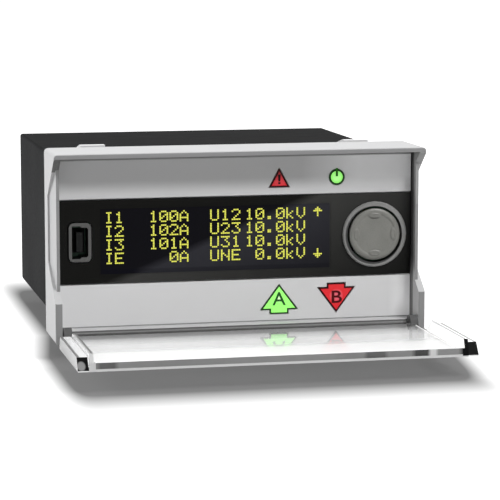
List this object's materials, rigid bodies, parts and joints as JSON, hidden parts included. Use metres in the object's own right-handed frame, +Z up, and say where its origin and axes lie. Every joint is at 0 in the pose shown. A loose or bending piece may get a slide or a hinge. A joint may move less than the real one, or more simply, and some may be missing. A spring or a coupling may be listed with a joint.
{
  "type": "protection relay",
  "caption": "Panel-mounting protection relay: light grey collar with a hinged clear door, black housing, display, round navigation button, lit symbols and rear terminals.",
  "frame": {"origin": "centre of the collar's rear seating face, the plane that meets the panel", "axes": "+Y backwards through the panel, along the housing; the operating face looks along -Y; +Z up; +X to the right seen from the front"},
  "size_m": [0.0974, 0.144, 0.0484],
  "materials": {
    "bezel_grey": "fine matt",
    "plate_grey": "fine matt",
    "seal_rubber": "matt",
    "window_black": "gloss",
    "display_glass": "gloss, dark blue",
    "module_black": "matt",
    "red_lens": "clear red",
    "green_lens": "clear green",
    "led_white": "matt",
    "socket_steel": "bright",
    "ring_grey": "satin",
    "cap_grey": "satin",
    "board_green": "solder resist",
    "screw_steel": "bright",
    "housing_black": "fine matt",
    "transformer_brown": "lacquered",
    "terminal_green": "matt",
    "clamp_grey": "fine matt",
    "door_clear": "clear moulded acrylic"
  },
  "bodies": {
    "relay": {"bezel": "bezel_grey", "board_connector": "module_black", "board_screw_1": "screw_steel", "board_screw_2": "screw_steel", "board_screw_3": "screw_steel", "board_screw_4": "screw_steel", "cover_screw_1": "screw_steel", "cover_screw_2": "screw_steel", "cover_screw_3": "screw_steel", "cover_screw_4": "screw_steel", "display_glass": "display_glass", "display_module": "module_black", "down_arrow_led": "led_white", "down_arrow_lens": "red_lens", "face_plate": "plate_grey", "front_board": "board_green", "hinge_pin_left": "screw_steel", "hinge_pin_right": "screw_steel", "housing": "housing_black", "main_board": "board_green", "nav_ring": "ring_grey", "nav_switch": "module_black", "output_relay_1": "module_black", "output_relay_2": "module_black", "output_relay_3": "module_black", "panel_clamp_bottom_left": "clamp_grey", "panel_clamp_bottom_right": "clamp_grey", "panel_clamp_top_left": "clamp_grey", "panel_clamp_top_right": "clamp_grey", "panel_seal": "seal_rubber", "power_board": "board_green", "power_led": "led_white", "power_lens": "green_lens", "rear_cover": "housing_black", "socket_insulator": "module_black", "socket_shell": "socket_steel", "storage_capacitor": "module_black", "supply_transformer": "transformer_brown", "terminal_block_lower_left": "terminal_green", "terminal_block_lower_right": "terminal_green", "terminal_block_upper": "terminal_green", "up_arrow_led": "led_white", "up_arrow_lens": "green_lens", "warning_led": "led_white", "warning_lens": "red_lens", "window_band": "window_black"},
    "door_panel": {"door": "door_clear"},
    "nav_plunger_body": {"nav_plunger": "module_black"},
    "nav_gimbal_body": {"nav_gimbal": "module_black"},
    "nav_cap_body": {"nav_cap": "cap_grey"}
  },
  "joints": [
    {"name": "door_hinge", "type": "hinge", "parent": "relay", "child": "door_panel", "pos_m": [0, -0.0177, -0.02165], "axis": [-1, 0, 0], "range_deg": [0, 90]},
    {"name": "nav_press", "type": "slide", "parent": "relay", "child": "nav_plunger_body", "axis": [0, 1, 0], "range_m": [0, 0.0004], "stiffness_N_per_m": 2000, "springref_m": -0.0004},
    {"name": "nav_tilt_up_down", "type": "hinge", "parent": "nav_plunger_body", "child": "nav_gimbal_body", "pos_m": [0.0362, -0.0096, 0.001], "axis": [1, 0, 0], "range_deg": [-3, 3], "stiffness_Nm_per_rad": 0.05},
    {"name": "nav_tilt_left_right", "type": "hinge", "parent": "nav_gimbal_body", "child": "nav_cap_body", "pos_m": [0.0362, -0.0098, 0.001], "axis": [0, 0, 1], "range_deg": [-3, 3], "stiffness_Nm_per_rad": 0.05}
  ]
}
